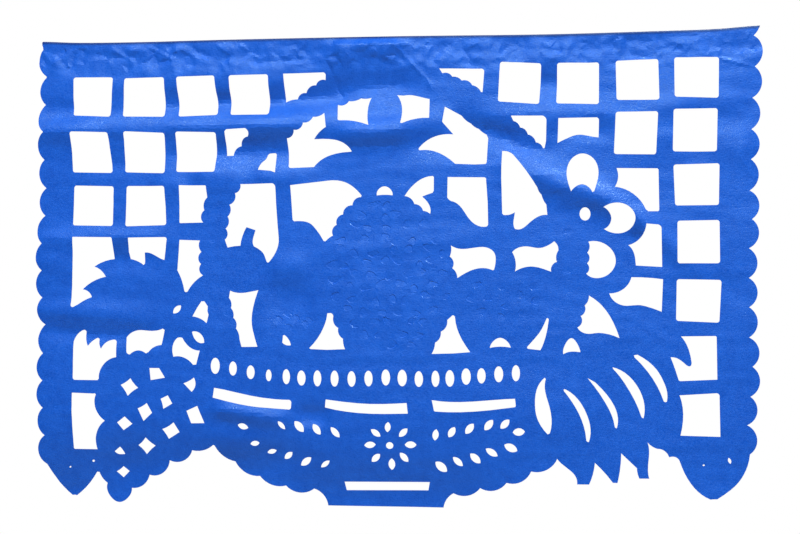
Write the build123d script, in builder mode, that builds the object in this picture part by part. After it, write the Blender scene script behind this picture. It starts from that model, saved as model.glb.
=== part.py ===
from build123d import *
import os
from math import atan2, cos, degrees, hypot, pi, radians, sin

os.makedirs("parts", exist_ok=True)

# ---- driving dimensions, in millimetres -------------------------------------------------
sheet_width = 469.6      # along the fold, one top corner to the other
sheet_drop = 301.5       # from the fold down to the foot of the basket, at mid width
paper_t = 0.1            # tissue paper
channel_r = 1.0          # the roll at the top that the string runs through
channel_cover = 280.0    # degrees of the roll that the paper wraps before its layers meet
window_corner = 1.6      # the punch that cuts the lattice windows has rounded corners
scallop_left = 4.4       # how far the scallops swell out on each side
scallop_right = 5.1
flap_left = 24.0         # depth of the glued flap behind the front, at each end
flap_right = 15.4

# The cut pattern is drawn once, on a sheet 469.6 wide and 301.5 deep, about the middle of its
# lattice: x to the right, z up. Every point is then scaled to the two sizes above.
DRAWN_WIDTH, DRAWN_DROP = 469.6, 301.5
scale_x = sheet_width / DRAWN_WIDTH
scale_z = sheet_drop / DRAWN_DROP

# ---- the fold ---------------------------------------------------------------------------
# The sheet was folded a little out of square: the fold falls away from the lattice.
FOLD_LEFT, FOLD_RIGHT = (-232.9, 144.9), (236.6, 132.5)
fold_left = (FOLD_LEFT[0] * scale_x, FOLD_LEFT[1] * scale_z)
fold_right = (FOLD_RIGHT[0] * scale_x, FOLD_RIGHT[1] * scale_z)
fold_length = hypot(fold_right[0] - fold_left[0], fold_right[1] - fold_left[1])
tilt = -atan2(fold_right[1] - fold_left[1], fold_right[0] - fold_left[0])
fold_mid = ((fold_left[0] + fold_right[0]) / 2, (fold_left[1] + fold_right[1]) / 2)

# Cross-section of the roll: a circle that closes to a point where the two layers meet.
half_gap = radians((360 - channel_cover) / 2)
outer_r = channel_r + paper_t
meet_z = -channel_r / cos(half_gap)
root_z = -(channel_r + paper_t * (1 - sin(half_gap))) / cos(half_gap)
hem_drop = outer_r - root_z + 0.1

# The part's own frame: origin on the channel's axis at mid width, X along the fold, Z up,
# the front of the banner facing -Y. The pattern lies in this plane.
pattern = Plane(
    origin=(
        fold_mid[1] * sin(tilt) - fold_mid[0] * cos(tilt),
        0,
        outer_r - fold_mid[0] * sin(tilt) - fold_mid[1] * cos(tilt),
    ),
    x_dir=(cos(tilt), 0, sin(tilt)),
    z_dir=(0, -1, 0),
)


def at(point):
    """A drawn point, at the sheet's own size."""
    return (point[0] * scale_x, point[1] * scale_z)


def trace(path):
    """Fill one closed edge, walked with the paper on the right hand.

    A pair is a corner. Between two corners, a list bends the edge through its points, and a
    number bows the edge outwards from the paper by that much.
    """
    corners = [i for i, item in enumerate(path) if isinstance(item, tuple)]
    with BuildLine() as edge:
        for here, after in zip(corners, corners[1:] + [corners[0] + len(path)]):
            a, b = at(path[here]), at(path[after % len(path)])
            between = path[here + 1] if after - here == 2 else None
            if between is None:
                Line(a, b)
            elif isinstance(between, list):
                Spline(a, *[at(p) for p in between], b)
            else:
                reach = between / hypot(b[0] - a[0], b[1] - a[1])
                middle = ((a[0] + b[0]) / 2 - (b[1] - a[1]) * reach,
                          (a[1] + b[1]) / 2 + (b[0] - a[0]) * reach)
                ThreePointArc(a, middle, b)
    make_face(edge.edges())


def leaf_cut(x, z, length, width, turn):
    """A pointed leaf, cut with two strokes of a gouge."""
    run, rise = cos(radians(turn)) / 2, sin(radians(turn)) / 2
    tips = [(x - length * run, z - length * rise), (x + length * run, z + length * rise)]
    trace([tips[0], -width / 2, tips[1], -width / 2])


def scalloped(valleys, swell):
    """A run of scallops: arcs between the valley points."""
    return [item for valley in valleys for item in (valley, swell)][:-1]


# ---- outline of the sheet, clockwise ------------------------------------------------------
RIGHT_VALLEYS = [
    (232.6, 126.6), (232.9, 108.5), (231, 89.4), (230, 70), (229.3, 51.5), (228.2, 32.4),
    (229.2, 14.8), (227, -3), (226.6, -21.1), (226.4, -39), (226, -57.4), (227.6, -75.2),
    (226, -93.4), (223.7, -110.6), (225, -128.3),
]
LEFT_VALLEYS = [
    (-230.1, -117.2), (-231, -99), (-231.4, -81), (-231.2, -63), (-229.8, -43.9),
    (-231.7, -26), (-231.9, -8), (-231.9, 10), (-230, 28.5), (-229.2, 47), (-230.5, 66),
    (-229.9, 84.2), (-230, 103), (-228.7, 121.6), (-232.3, 139.3),
]
RIGHT_POINT = [
    [(223, -136.5), (217, -146.3), (209.5, -152.6)], (205, -155.6), -0.1, (201, -155.8),
    [(193.5, -151), (186.8, -142)], (182.8, -132.2), [(181.4, -130.6)], (176.6, -130.2),
    [(175.4, -127.8), (173, -125.8)], (169.6, -125.1), [(166, -123.3)], (163.8, -121.2),
]
BANANA_TIPS = [
    [(164.5, -129), (163.7, -137)], (164.4, -143.3), (158.4, -143.3), [(157.2, -139.5)],
    (157, -137), [(152.5, -132.6)], (147.6, -127.9), [(147.1, -135)], (145, -146.1),
    (142.2, -146), [(138.5, -141.3)], (131.4, -133.8), [(130.4, -139.5)], (127.6, -147.2),
    (120.2, -147.2), [(119, -141.8), (114, -137)], (108.2, -131.5),
]
BASKET_FOOT = [
    3.3, (91.8, -139.4), 3.3, (76.2, -146.6), 3.3, (59.3, -150.2), 3.2, (42, -153.8), -1.4,
    (35.3, -162.9), (-39.8, -162.4), -2.1, (-48.8, -151.6), 3.6, (-67.5, -149.8), 2.8,
    (-84.6, -143.7), 3.0, (-100.8, -134.3), 2.0, (-113.7, -124.3), -0.6, (-115.7, -124.1),
]
GRAPES_FOOT = [
    1.6, (-129.7, -127.1), 3.9, (-145.5, -133.7), 4.2, (-160.1, -143.4), 3.0,
    (-172.9, -152.2), [(-175.6, -158.6), (-181.5, -161.6), (-188, -157.8)], (-189.5, -149),
    [(-192.6, -145.8)], (-194.5, -141.7), (-196, -141.5),
]
LEFT_POINT = [
    [(-200.5, -147.8), (-207, -154.3)], (-210.8, -157.3), -0.3, (-213.6, -157.1),
    [(-220.5, -150.4), (-227, -140.8)], (-229.6, -136.2), 5.4,
]
OUTLINE = (
    [(-232.7, FOLD_LEFT[1] - hem_drop / scale_z), (235.5, FOLD_RIGHT[1] - hem_drop / scale_z), 0.2]
    + scalloped(RIGHT_VALLEYS, scallop_right) + RIGHT_POINT + BANANA_TIPS + BASKET_FOOT
    + GRAPES_FOOT + LEFT_POINT + scalloped(LEFT_VALLEYS, scallop_left)
)

# The flap: what is left of the sheet above the fold, turned down behind the front and glued.
FLAP = [
    OUTLINE[0], OUTLINE[1],
    (231.6, FOLD_RIGHT[1] - flap_right / scale_z), (-229.4, FOLD_LEFT[1] - flap_left / scale_z),
]

# ---- lattice windows: four corners each, as cut ---------------------------------------------
WINDOWS = [
    # first row, left to right
    [(-210, 120.6), (-209.9, 95), (-184.2, 93.2), (-182.3, 119.6)],
    [(-174.4, 118.6), (-175.4, 93), (-146.6, 91.9), (-146.9, 118.2)],
    [(-138.4, 118.1), (-137, 91.6), (-110.2, 91.8), (-112.3, 117.8)],
    [(-102.4, 117.4), (-101.5, 91.4), (-75.5, 90.6), (-75.9, 117)],
    [(76, 119), (74.2, 93.3), (100.2, 90.6), (102, 116.7)],
    [(112, 116.6), (111, 90.6), (137.6, 88.9), (138.1, 115.6)],
    [(148.4, 116.4), (148.6, 91.2), (174.9, 90.3), (174.6, 116.2)],
    [(184.4, 116.7), (184.2, 91.7), (210.8, 90), (211.5, 115.4)],
    # second row
    [(-211.1, 83.8), (-210.4, 57), (-182.7, 55.8), (-185.3, 82.6)],
    [(-174.3, 82.9), (-174, 56), (-146.4, 54.4), (-146.1, 80.9)],
    [(-138.6, 81.5), (-138.4, 55), (-112, 54.2), (-111, 80.1)],
    [(148, 83.7), (146.3, 57.5), (172.2, 56.4), (174, 83.1)],
    [(183.4, 84.1), (182.4, 57.9), (209, 57), (210.1, 83.7)],
    # third row
    [(-209.5, 48.2), (-210.4, 21.6), (-182.4, 20.5), (-182, 46.9)],
    [(-172.9, 46.8), (-173.6, 20), (-145.4, 20.2), (-146.5, 46)],
    [(182.6, 49.8), (183.2, 24.4), (209.6, 24), (210.5, 49.7)],
    # fourth and fifth rows, by the right border
    [(184.4, 14.9), (184, -11.4), (209.6, -11.8), (209.8, 14.8)],
    [(183.3, -21.1), (182.4, -46.7), (208.4, -48.2), (210.3, -22)],
]

# ---- windows that the handle, the flower and the leaf cut short ------------------------------
LATTICE_GAPS = [
    # above the handle, left and right
    [(-65.8, 117.1), (-65, 98.8), 0.6, (-57.3, 100.6), 1.5, (-51.3, 104.4), 1.5,
     (-44.4, 109), 1.5, (-38, 112), (-37.6, 115), -0.7, (-39.8, 116.8)],
    [(37, 116), (39, 112.8), 1.3, (45.3, 110.3), 0.9, (51.3, 107.6), 1.4, (58, 104.3), 0.9,
     (63.6, 99.7), (64.6, 99.6), (65.8, 112.6), -0.8, (63.4, 114.8)],
    [(-105, 80.4), (-104.6, 64.8), (-100.1, 64.8), 1.5, (-94.5, 70.8), 1.6, (-89.5, 76.6),
     [(-88.8, 79.6)], (-90.7, 81.9), (-103.7, 81.7)],
    [(82.5, 83.8), (84, 80.4), 0.9, (88, 76.3), 1.1, (92.7, 71.9), 1.1, (97.7, 66.7), 0.9,
     (102.2, 62.8), (103.2, 62.8), (104.2, 67), (104.8, 80), -0.8, (102, 83.1)],
    [(112.3, 81.1), (111.4, 65.6), [(117.5, 68.5), (125, 70.5), (132, 69.2)], (137, 68.3),
     (137.5, 79), -0.5, (135.8, 80.6)],
    [(-136.4, 46.2), (-136.4, 22.3), -0.4, (-135.3, 21.3), (-120.2, 21.3), 1.9,
     (-119.4, 29.3), 1.4, (-117.2, 37.6), (-117.8, 44.2), -0.4, (-118.8, 45.5)],
    [(-136.4, 10.3), (-138, -9.6), [(-135.4, -15.2)], (-133.3, -23.3), -0.6, (-131, -23.4),
     [(-127.5, -18.6)], (-120.6, -13.2), 1.9, (-121.8, -5.8), 2.0, (-121.6, 2.1), 1.2,
     (-122.5, 9.6)],
    # round the flower
    [(147.8, 48.7), [(148.7, 43)], (146.7, 36.9), [(155, 34.2), (161.5, 28.8)],
     (165.3, 22.4), (166.8, 21.1), (172.6, 21.1), -0.3, (173.5, 22.4), (173.5, 46.6), -0.5,
     (172, 47.8)],
    [(165.6, 13.4), [(164, 8), (160.2, 3.4)], (154.2, 0.5), [(157.4, -4), (158.3, -8)],
     (158.6, -12.2), (174.6, -13.4), (174.7, 10), -0.8, (172.3, 12.8)],
    [(155.7, -19.4), [(153.8, -23.6), (149.5, -27.4)], (142, -29.2),
     [(145.3, -34.3), (151, -36.9), (160, -36.7), (166.5, -38.2)], (173.8, -41),
     (175, -21), [(165, -19.8)]],
    # round the vine leaf
    [(-209.7, 13.8), (-210.2, -8), (-211.4, -31.2), -0.6, (-209.4, -32.6), (-206, -30.8),
     [(-202, -28.3)], (-197, -26.2), [(-199, -23)], (-203.4, -21), [(-199.5, -17.8),
     (-194, -14.8)], (-187.4, -12.9), [(-190.3, -9.2)], (-195.6, -6), [(-189, -2.7)],
     (-181.7, -1.3), (-182.3, 11.6), -0.6, (-184, 13)],
    [(-171, 12.4), (-171.4, 3), (-170.5, -1.5), [(-166, -2.9)], (-161.5, -5.6),
     (-160.6, -4.6), (-160.5, 2.5), [(-156, 1.8), (-152, -0.4)], (-147, -2.6),
     (-145.1, 10.2), -0.8, (-146.8, 12.3)],
    # bottom left: between the leaf and the grapes
    [(-203, -47.8), [(-206.7, -49.8)], (-209.9, -55.2), (-209.8, -79), -0.5,
     (-208, -80.7), (-192.9, -81), (-192, -80), [(-190.8, -73.8), (-186.5, -68.5)],
     (-180.2, -66), (-180.1, -56.5), -0.8, (-182.5, -54.5), [(-187, -56)],
     (-190.6, -60.3), [(-191.8, -57.5)], (-192, -54.3), -0.3, (-193.6, -53.2),
     [(-196.6, -55)], (-199.7, -58.4), [(-201.1, -55)], (-201.2, -49), -0.4],
    [(-173.5, -53.2), (-173.1, -62.5), -0.6, (-170.7, -64.2), [(-165, -61.7)],
     (-159.8, -63.7), (-158, -62.8), [(-154.5, -59.7)], (-149.3, -58.3), (-147, -48.5),
     (-148.3, -47.6), [(-153, -48.9), (-158, -48.9), (-164, -48.4), (-170, -50)]],
    [(-138.3, -53.8), [(-141.2, -57.6), (-141.8, -61.5)], (-141.1, -66.1),
     [(-136, -66), (-131.3, -68)], (-127.6, -71.4), (-125.5, -71.3), (-123, -62.2),
     [(-127, -61.5), (-131.5, -58.5)], (-134.8, -53.8), -0.3],
    [(-210.3, -89.1), (-210.6, -100), (-210.1, -125), -0.5, (-208.8, -126.2),
     (-194.3, -126.5), [(-195, -120), (-193, -113)], (-188.4, -107.6),
     [(-193, -102.5), (-194.9, -97)], (-194, -90.3), -0.3, (-195.5, -89.8)],
    # bottom right: beside the bananas
    [(185.2, -56.3), [(188.8, -62), (190.8, -69)], (191.3, -72.5), [(190.4, -74.6)],
     (188.3, -74.1), [(185, -71.2), (182, -69.5)], (178.7, -69.1), [(181.3, -76.5)],
     (183.3, -83.2), (184.2, -83.7), (206.5, -82.9), (206.6, -57.5), -0.4, (205.6, -56.3)],
    [(183.6, -92.4), [(185.4, -100), (185.4, -108)], (183.7, -117), (207.6, -117.7),
     (207.6, -93.5), -0.7, (205.8, -91.2)],
]

# ---- gaps inside the handle, between the fruit -------------------------------------------------
FRUIT_GAPS = [
    # each side of the crown's middle leaf
    [(-30, 95.7), (-29.5, 87), [(-29.2, 85.4)], (-28, 84.9), [(-21, 84.4), (-14.5, 82.9)],
     (-8.6, 80.8), [(-9.8, 87), (-9.4, 94)], (-7.7, 99.2), 0.5, (-14.6, 99.2), 0.8,
     (-22.8, 97.8), 1.6],
    [(9.2, 100.2), [(12.2, 94), (12.8, 87)], (12, 81.5), (13.2, 81.2), [(18, 83.1),
     (24, 84.3)], (30.3, 84.3), (30.5, 96.6), [(24, 98.4), (18, 99.8)], (13.5, 99.7)],
    # between the handle and the crown leaves
    [(-38.6, 90.5), 1.0, (-45.7, 87.9), 1.4, (-52.1, 84.2), 1.8, (-58.4, 79.8), 1.5,
     (-63.6, 74.8), (-62.4, 57), -0.5, (-61, 55.2), (-45.6, 55.4), [(-41, 59.8),
     (-32, 63.4)], (-21, 64.4), -0.3, (-20.6, 65.2), [(-25, 69.8), (-33, 72.8)],
     (-45.4, 73.5), [(-41.7, 77.8)], (-37.2, 81), (-37.9, 87)],
    [(40.3, 91.3), (38.6, 81.8), (39.2, 80.8), (45.4, 73.5), [(36, 73.1), (28.8, 70.4)],
     (23, 65.4), -0.3, (23.7, 64), [(31.5, 63.6), (39.5, 60.1)], (46.5, 54.6),
     (59, 53.8), (65.8, 53.9), -0.2, (66.6, 55.6), (67.4, 70.5), (66.4, 72.9), 0.3,
     (61.5, 76.7), 0.4, (56.5, 80.3), 0.5, (50.8, 85.3)],
    [(-75, 65.5), -0.5, (-77.2, 63.7), 0.4, (-79.7, 60.4), -0.6, (-82.9, 54.8),
     (-74.5, 53.8), (-71.3, 52.6), (-71.1, 64), -0.5, (-72.4, 65.6)],
    # left: round the stalk of the small fruit and the pear
    [(-94.6, 45.6), 1.5, (-98.3, 39.8), 1.8, (-102.3, 32.5), 1.4, (-103.6, 24.8), 1.5,
     (-105.1, 17), 1.6, (-105.7, 9.8), (-103.9, 4.6), [(-100, 5.3)], (-95.2, 5.6),
     [(-94.1, 11)], (-91, 17.6), (-85, 15.5), [(-86.7, 10), (-86.8, 6.8)], (-86.1, 5),
     [(-82.4, 2.8), (-79.6, 0), (-78.2, -3.4)], (-77.4, -5.4), -0.3, (-75.8, -5.4),
     [(-72, -0.4), (-69.9, 4.8)], (-69.4, 10), [(-70.4, 22)], (-71.3, 43), -0.7,
     (-73.6, 45.6)],
    [(-61.3, 44), (-60.1, 21.6), (-59, 20.6), [(-54, 20.6), (-48.5, 19),
     (-44.4, 14.9), (-41.8, 11.3)], (-39.7, 7.8), -0.3, (-38.1, 7.3), 0.3, (-33.3, 10.8), 1.6,
     (-30.8, 17.6), 1.9, (-26.5, 24.2), 1.9, (-20.3, 29.9), 1.6, (-14.6, 35),
     (-14.2, 36), [(-19.5, 41.6), (-25, 44.9), (-31, 46.3)], (-37, 46.2)],
    # right: under the crown leaves
    [(13.7, 34.9), 1.3, (19.9, 29.7), 1.2, (25.5, 25.2), 0.4, (30, 23.2), [(30.1, 27),
     (28.2, 31)], (25, 34.3), [(28.5, 35.6)], (31.8, 36.6), (32.5, 38), (32.7, 46.4),
     -0.4, (31.2, 47.2), [(25, 45.7), (19, 41.5)]],
    [(-4.3, 35.8), 0.4, (6, 35.6), [(4.6, 39.6), (0.8, 41.5), (-3, 39.8)]],
    [(41.5, 46.3), (41.1, 33.4), [(42.2, 31.9)], (45, 30.6), [(50, 26.7), (55, 19.3),
     (60, 15.1)], (65.3, 14.1), -0.5, (67, 15.8), (66.9, 30), (66.1, 43.6), -0.6,
     (64.7, 45.4)],
    [(76.4, 61.9), (75.8, 45), (76, 22.6), -0.3, (77.2, 21.2), [(80.5, 21.3)],
     (84.1, 22.8), [(83.2, 18), (83.1, 14.5)], (83.9, 12.3), [(88, 12.2), (92.5, 15.4),
     (97, 18.8)], (104.4, 20.6), (103.9, 27), 0.4, (101, 33.3), 0.4, (98.6, 37.8),
     [(92.6, 47.4)], (83.2, 59.5), [(81, 61)]],
    # middle right: between the apples
    [(43.2, 2.7), 0.5, (42.3, -4.3), 1.6, (43.8, -11.7), 0.9, (47, -18), [(53.5, -14.3),
     (60, -12.2)], (69.6, -13.5), -0.3, (70.6, -12.4), [(71.5, -7.5), (70.6, -2.4),
     (66, 0.9), (61, 1.3), (53, 0.4)]],
    [(82, -2.3), [(83.6, -6), (84.2, -10)], (83.6, -14.5), [(88.5, -12.3), (94.5, -11.6),
     (100.5, -12.9)], (106.3, -15.1), 1.5, (109.9, -9), 0.9, (110.9, -2), [(110.6, 1)],
     (108.4, 3.9), [(104.5, 1.4), (99, -0.1), (92, 1), (87, 0.7)]],
    # bottom: between the fruit and the basket's rim
    [(-102.4, -23.5), (-103.1, -28.2), 0.9, (-101.8, -34.8), 0.9, (-100.2, -41.2), 1.2,
     (-98.3, -48.1), 0.6, (-96, -55), (-94.7, -60.1), (-84, -60.1), [(-86.3, -52.5),
     (-87.8, -43), (-86.7, -34)], (-83.4, -23.5), [(-88.5, -24.4), (-93.5, -25.1),
     (-98.5, -24.8)]],
    [(-37.4, -39.1), [(-38.6, -44.5), (-42, -52)], (-49.5, -61.3), (-48.6, -61.9),
     (-38, -62.5), (-26, -62.2), 0.4, (-27.3, -55.5), 1.3, (-30.3, -48.6), 1.4,
     (-33.5, -41.4), -0.6, (-35.3, -39)],
    [(-66.9, -52.9), (-67.4, -57.6), [(-65.4, -59)], (-61.7, -59.3), [(-63.4, -55.2)],
     (-65.9, -52.7)],
    [(43.6, -41.5), (40.2, -44.4), 1.5, (36, -51.7), 1.3, (32.3, -58.6), 0.5,
     (30, -65.7), (44, -65.5), (54.6, -64.8), [(51, -59.5), (47.4, -52.5)],
     (45.2, -43), -0.5],
    [(103, -44.1), [(101.6, -47.3), (98.6, -52.7), (95, -57)], (90.5, -61.9),
     (90.8, -63), (98.8, -64), [(101.3, -58.4), (103.1, -52)], (104.3, -45), -0.4],
    [(67.1, -62.2), 0.7, (80.2, -62.2), [(77.8, -58), (73.6, -56), (69.4, -58)]],
    [(113.1, -66.6), [(116.5, -65.2), (120, -65)], (123.6, -65.4), [(121.9, -60.4),
     (118.2, -56.7), (114.3, -60.4)]],
    [(129.4, -30.3), 0.8, (126.7, -36.4), 1.5, (124.1, -43), 1.8, (122, -50),
     [(125, -53.1), (129, -54.1), (134, -53.6), (140, -54.2)], (147.8, -57),
     [(145.6, -50.5), (140.5, -40.7)]],
]

# ---- the flower ----------------------------------------------------------------------------------
FLOWER = [
    [(119.7, 34.5), [(122.4, 37.2), (126.8, 38.7), (130.7, 36.8)], (132.9, 33.6),
     (134.1, 34.1), [(136.1, 41.5), (136.6, 48), (133.3, 55.5), (126.7, 58.5),
     (120.3, 55.6), (117, 48), (117.8, 40.5)]],
    [(139.5, 24.3), [(142.7, 21.5), (144.1, 17.5), (142.8, 13.5)], (139.4, 10.9),
     [(144, 8.6), (150, 8.1), (156.4, 11.3), (159, 17), (156.6, 23), (151, 26.4),
     (145, 26.5)]],
    [(129.6, 3.2), 1.2, (128.8, -3.6), 1.5, (128.6, -10.3), 1.6, (128, -16.7),
     [(131, -18.9), (136, -19.5), (142, -17.1), (146.1, -11), (145.8, -5.5), (142, 0),
     (136.5, 3)]],
]
FLOWER_EYE = (127.9, 20.5, 6.8, 8.1)

# ---- vine leaf, tendril and grapes ---------------------------------------------------------------
VINE_CUTS = [
    [(-121.8, -30.2), (-124.6, -34.3), (-127.7, -39.9), [(-122.5, -41.4)],
     (-118.2, -44.4), (-116.8, -39), (-117.6, -36.5), (-117.4, -33.5), (-119.8, -30.1)],
    [(-128.1, -49.9), [(-126.7, -54), (-123.5, -57)], (-119.9, -57.1), [(-121.2, -52.5),
     (-124.2, -50.1)]],
    [(-177.2, -84.2), 0.4, (-172.5, -91.4), 0.4, (-165.3, -86.2), 0.4, (-170.5, -79.9),
     0.4],
    [(-157.4, -73.3), (-156.7, -81.2), (-146.9, -79.7), (-150.8, -73.4)],
    [(-134.2, -83.4), (-128.7, -89), [(-126, -84.5)], (-127, -79.7), 0.4],
    [(-165.7, -99.6), (-161.8, -107.9), (-155.8, -102.5), (-159.4, -96.2), 0.3],
    [(-149.9, -93.4), 0.3, (-148.1, -100), (-141.9, -96.5), (-145, -91.2)],
    [(-132.4, -101.3), (-129.3, -109.4), (-120.3, -109.3), (-125, -98.1)],
    [(-180, -108.8), (-175.8, -113.9), (-169.6, -109.7), (-174.8, -104.9)],
    [(-149.2, -113.2), 0.3, (-145, -119.6), (-137.4, -115.1), (-141.3, -108.8), 0.5],
    [(-166.5, -123.8), 0.4, (-161.2, -129.8), 0.3, (-154.6, -124.1), 0.3,
     (-161.1, -118.7), 0.4],
    [(-183.1, -127.9), -0.4, (-179.8, -129.9), (-176.2, -129.8), -0.3, (-179.2, -124.8)],
    [(-183, -141.3), (-178.5, -145.3), (-174.2, -141.1), (-178.2, -137.9), 0.3],
]

# ---- the basket and the bananas ------------------------------------------------------------------
# Eyelets along the rim: centre, width and height of each.
EYELETS = [
    (-112.5, -72.2, 6.1, 10.4), (-100.5, -74, 5.2, 9.1), (-88.6, -76.5, 5.3, 8.8),
    (-76.6, -78.6, 3.8, 7.5), (-64.9, -79.5, 4.9, 9.6), (-54.9, -80.4, 5.5, 9.6),
    (-44.3, -80.7, 5.2, 10.2), (-33, -80.9, 5.2, 10.2), (-21.9, -81.2, 5.3, 9.9),
    (-10.9, -81, 5.3, 9.9), (0.3, -80.4, 5.6, 10.1), (10.9, -80.8, 6, 10.4),
    (21.6, -81.5, 5.4, 9.9), (32.3, -81.4, 5.1, 10.2), (41.5, -81.2, 5.6, 10.4),
    (51.9, -80.1, 5.9, 10.2), (61.6, -79.7, 5.3, 9.5), (72.5, -78.8, 5.6, 9.9),
    (83.3, -78.2, 5.1, 10),
]
SLOTS = [
    [(-113.4, -86.4), (-114.3, -92.7), [(-103, -95.5), (-88, -98.4), (-75, -99.7)],
     (-63.4, -100.6), -0.4, (-62, -99), (-61.8, -96), -0.4, (-63.4, -94.4), [(-76, -93.6),
     (-90, -91.4), (-104, -88.2)]],
    [(-39.1, -94.2), (-39.8, -99.3), [(-29, -101.5), (-16, -103)], (0, -103.5),
     (14.3, -103.3), (13.6, -96.6), [(3, -97.1), (-12, -97.1), (-27, -95.8)]],
    [(29.8, -94.8), (31, -101.2), -0.3, (32.5, -102), [(50, -102.4), (66, -101.3)],
     (82, -99.4), -0.3, (83, -98.3), (82.6, -94.1), [(66, -95.1), (48, -96.1)]],
    [(-28.4, -146.9), (-27.3, -152.4), (25.8, -152.1), (26.9, -146.8)],
]
# Leaf sprays and the little flower: centre, length, width and turn of each cut.
SPRAY_CUTS = [
    (-93.8, -111.3, 7.3, 3.8, -15), (-86.3, -122.3, 6.1, 3.3, 8), (-75.6, -127.6, 6.3, 3, 14),
    (-64.9, -130.2, 6.9, 3.6, 38), (-53.2, -134, 8.9, 4.2, 36), (-40.4, -135.5, 7.4, 3, 36),
    (-68.2, -110.6, 6.7, 2.9, -51), (-56.9, -111.5, 9, 4.6, -50), (-45.4, -113.3, 8.4, 4.2, -52),
    (-33.1, -115.1, 8.6, 3.9, -49), (31.8, -116.7, 7.2, 4, 80), (42.2, -115, 7.6, 4.2, 57),
    (53.6, -112.8, 8.2, 4.4, 50), (65.8, -110.5, 8.4, 4.4, 50), (76, -109.9, 7.9, 4.2, 44),
    (84.6, -114.8, 7.6, 4.7, 4), (79.4, -124.7, 9, 4.9, -25), (67.3, -127.6, 8.8, 4.1, -32),
    (56.8, -131.4, 8.7, 4.6, -43), (45.6, -133.5, 8.3, 3.9, -43), (34.8, -136.9, 9.4, 5.2, -41),
    (1.2, -111.8, 6.4, 3.8, 84), (11.1, -115.3, 7.6, 3.8, 43), (15.6, -123, 7.6, 4.3, 0),
    (11.1, -131, 7.7, 4, -48), (3, -135.4, 7.4, 4.3, 89), (-7.1, -131.4, 7.4, 3.9, 42),
    (-10.6, -123.1, 7.4, 4.1, 5), (-6.7, -115.5, 7.5, 3.7, -36), (-138.3, -35.2, 7.3, 3.8, 43),
]
FLOWER_BUTTON = (2.1, -123.5, 4.7, 4.3)
BANANA_SLITS = [
    [(101.3, -81.1), [(97, -86.4), (95, -96), (96.7, -107.5), (99.5, -112.6)],
     (102.6, -116.3), (103.9, -115.6), [(105.2, -107), (103.7, -98), (101.5, -90)],
     (101.9, -82)],
    [(113, -88.2), (113, -89.4), [(120, -99.5), (124.6, -110)], (126.3, -119.5), -0.5,
     (127.9, -121), [(129.1, -114.5), (126.5, -102.8), (118.8, -91.6)], (114.4, -88.6)],
    [(127.8, -81.5), [(132.8, -88), (138, -96), (142, -104)], (143.9, -111.3), -0.4, (145.2, -112.4),
     [(145.8, -104.8), (140.6, -93.3)], (132.6, -84.3)],
    [(143.2, -74.9), (143.6, -76), [(147.3, -80.3), (152.5, -88.2), (157.2, -97.2)], (160.2, -105.3), -0.3,
     (161.6, -106.3), [(162.2, -97.8), (157.5, -85.6), (150.5, -78.2)], (145.6, -75.6)],
    [(156.4, -67.6), (156.8, -69), [(163, -75.7), (169.5, -85.4)], (174, -96), -0.4,
     (175.9, -96.2), [(176, -89.5), (174.2, -84), (170.4, -77), (164.2, -70.8)], (158.6, -67.3)],
]

# ---- pin pricks in the two points, where the sheets were held while they were cut ---------------
PRICKS = [
    (212.8, -132.2, 3.8, 1.8, -72), (197.3, -135, 1.4, 1, 0), (-197.7, -134.2, 1.6, 1.4, 0),
    (-213.7, -138.2, 1.4, 1, 40),
]

with BuildPart() as banner:
    # front of the banner
    with BuildSketch(pattern):
        trace(OUTLINE)
    extrude(amount=paper_t)
    # the flap glued behind it
    with BuildSketch(pattern):
        trace(FLAP)
    extrude(amount=-paper_t)
    # everything that is cut away, through both layers
    with BuildSketch(pattern) as windows:
        for corners in WINDOWS:
            trace(corners)
        fillet(windows.vertices(), window_corner)
    extrude(amount=2 * paper_t, both=True, mode=Mode.SUBTRACT)
    with BuildSketch(pattern):
        for path in LATTICE_GAPS + FRUIT_GAPS + FLOWER + VINE_CUTS + SLOTS + BANANA_SLITS:
            trace(path)
        for x, z, length, width, turn in SPRAY_CUTS + PRICKS:
            leaf_cut(x, z, length, width, turn)
        for x, z, width, height in EYELETS + [FLOWER_EYE, FLOWER_BUTTON]:
            with Locations(at((x, z))):
                Ellipse(width * scale_x / 2, height * scale_z / 2)
    extrude(amount=2 * paper_t, both=True, mode=Mode.SUBTRACT)
    # the roll that makes the string channel
    with BuildSketch(Plane.YZ):
        Circle(outer_r)
        with BuildLine():
            Polyline(
                (outer_r * sin(half_gap), -outer_r * cos(half_gap)),
                (paper_t, root_z),
                (paper_t, root_z - 0.6),
                (-paper_t, root_z - 0.6),
                (-paper_t, root_z),
                (-outer_r * sin(half_gap), -outer_r * cos(half_gap)),
                (0, 0),
                close=True,
            )
        make_face()
        Circle(channel_r, mode=Mode.SUBTRACT)
        with BuildLine():
            Polyline(
                (channel_r * sin(half_gap), -channel_r * cos(half_gap)),
                (0, meet_z),
                (-channel_r * sin(half_gap), -channel_r * cos(half_gap)),
                (0, 0),
                close=True,
            )
        make_face(mode=Mode.SUBTRACT)
    extrude(amount=fold_length / 2, both=True)

banner.part.label = "banner"
export_step(banner.part, "parts/banner.step")

size = banner.part.bounding_box().size
flat_depth = size.Z + 2 * pi * channel_r + (flap_left + flap_right) / 2
print("solids", len(banner.part.solids()), "volume mm3", round(banner.part.volume, 2))
print("size mm", round(size.X, 1), round(size.Y, 2), round(size.Z, 1))
print("paper cut to", round(banner.part.volume / paper_t / 100, 1), "cm2 of a flat sheet",
      round(fold_length, 1), "by", round(flat_depth, 1), "mm")
print("fold out of square by", round(degrees(tilt), 2), "degrees; channel", round(fold_length, 1))
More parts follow.
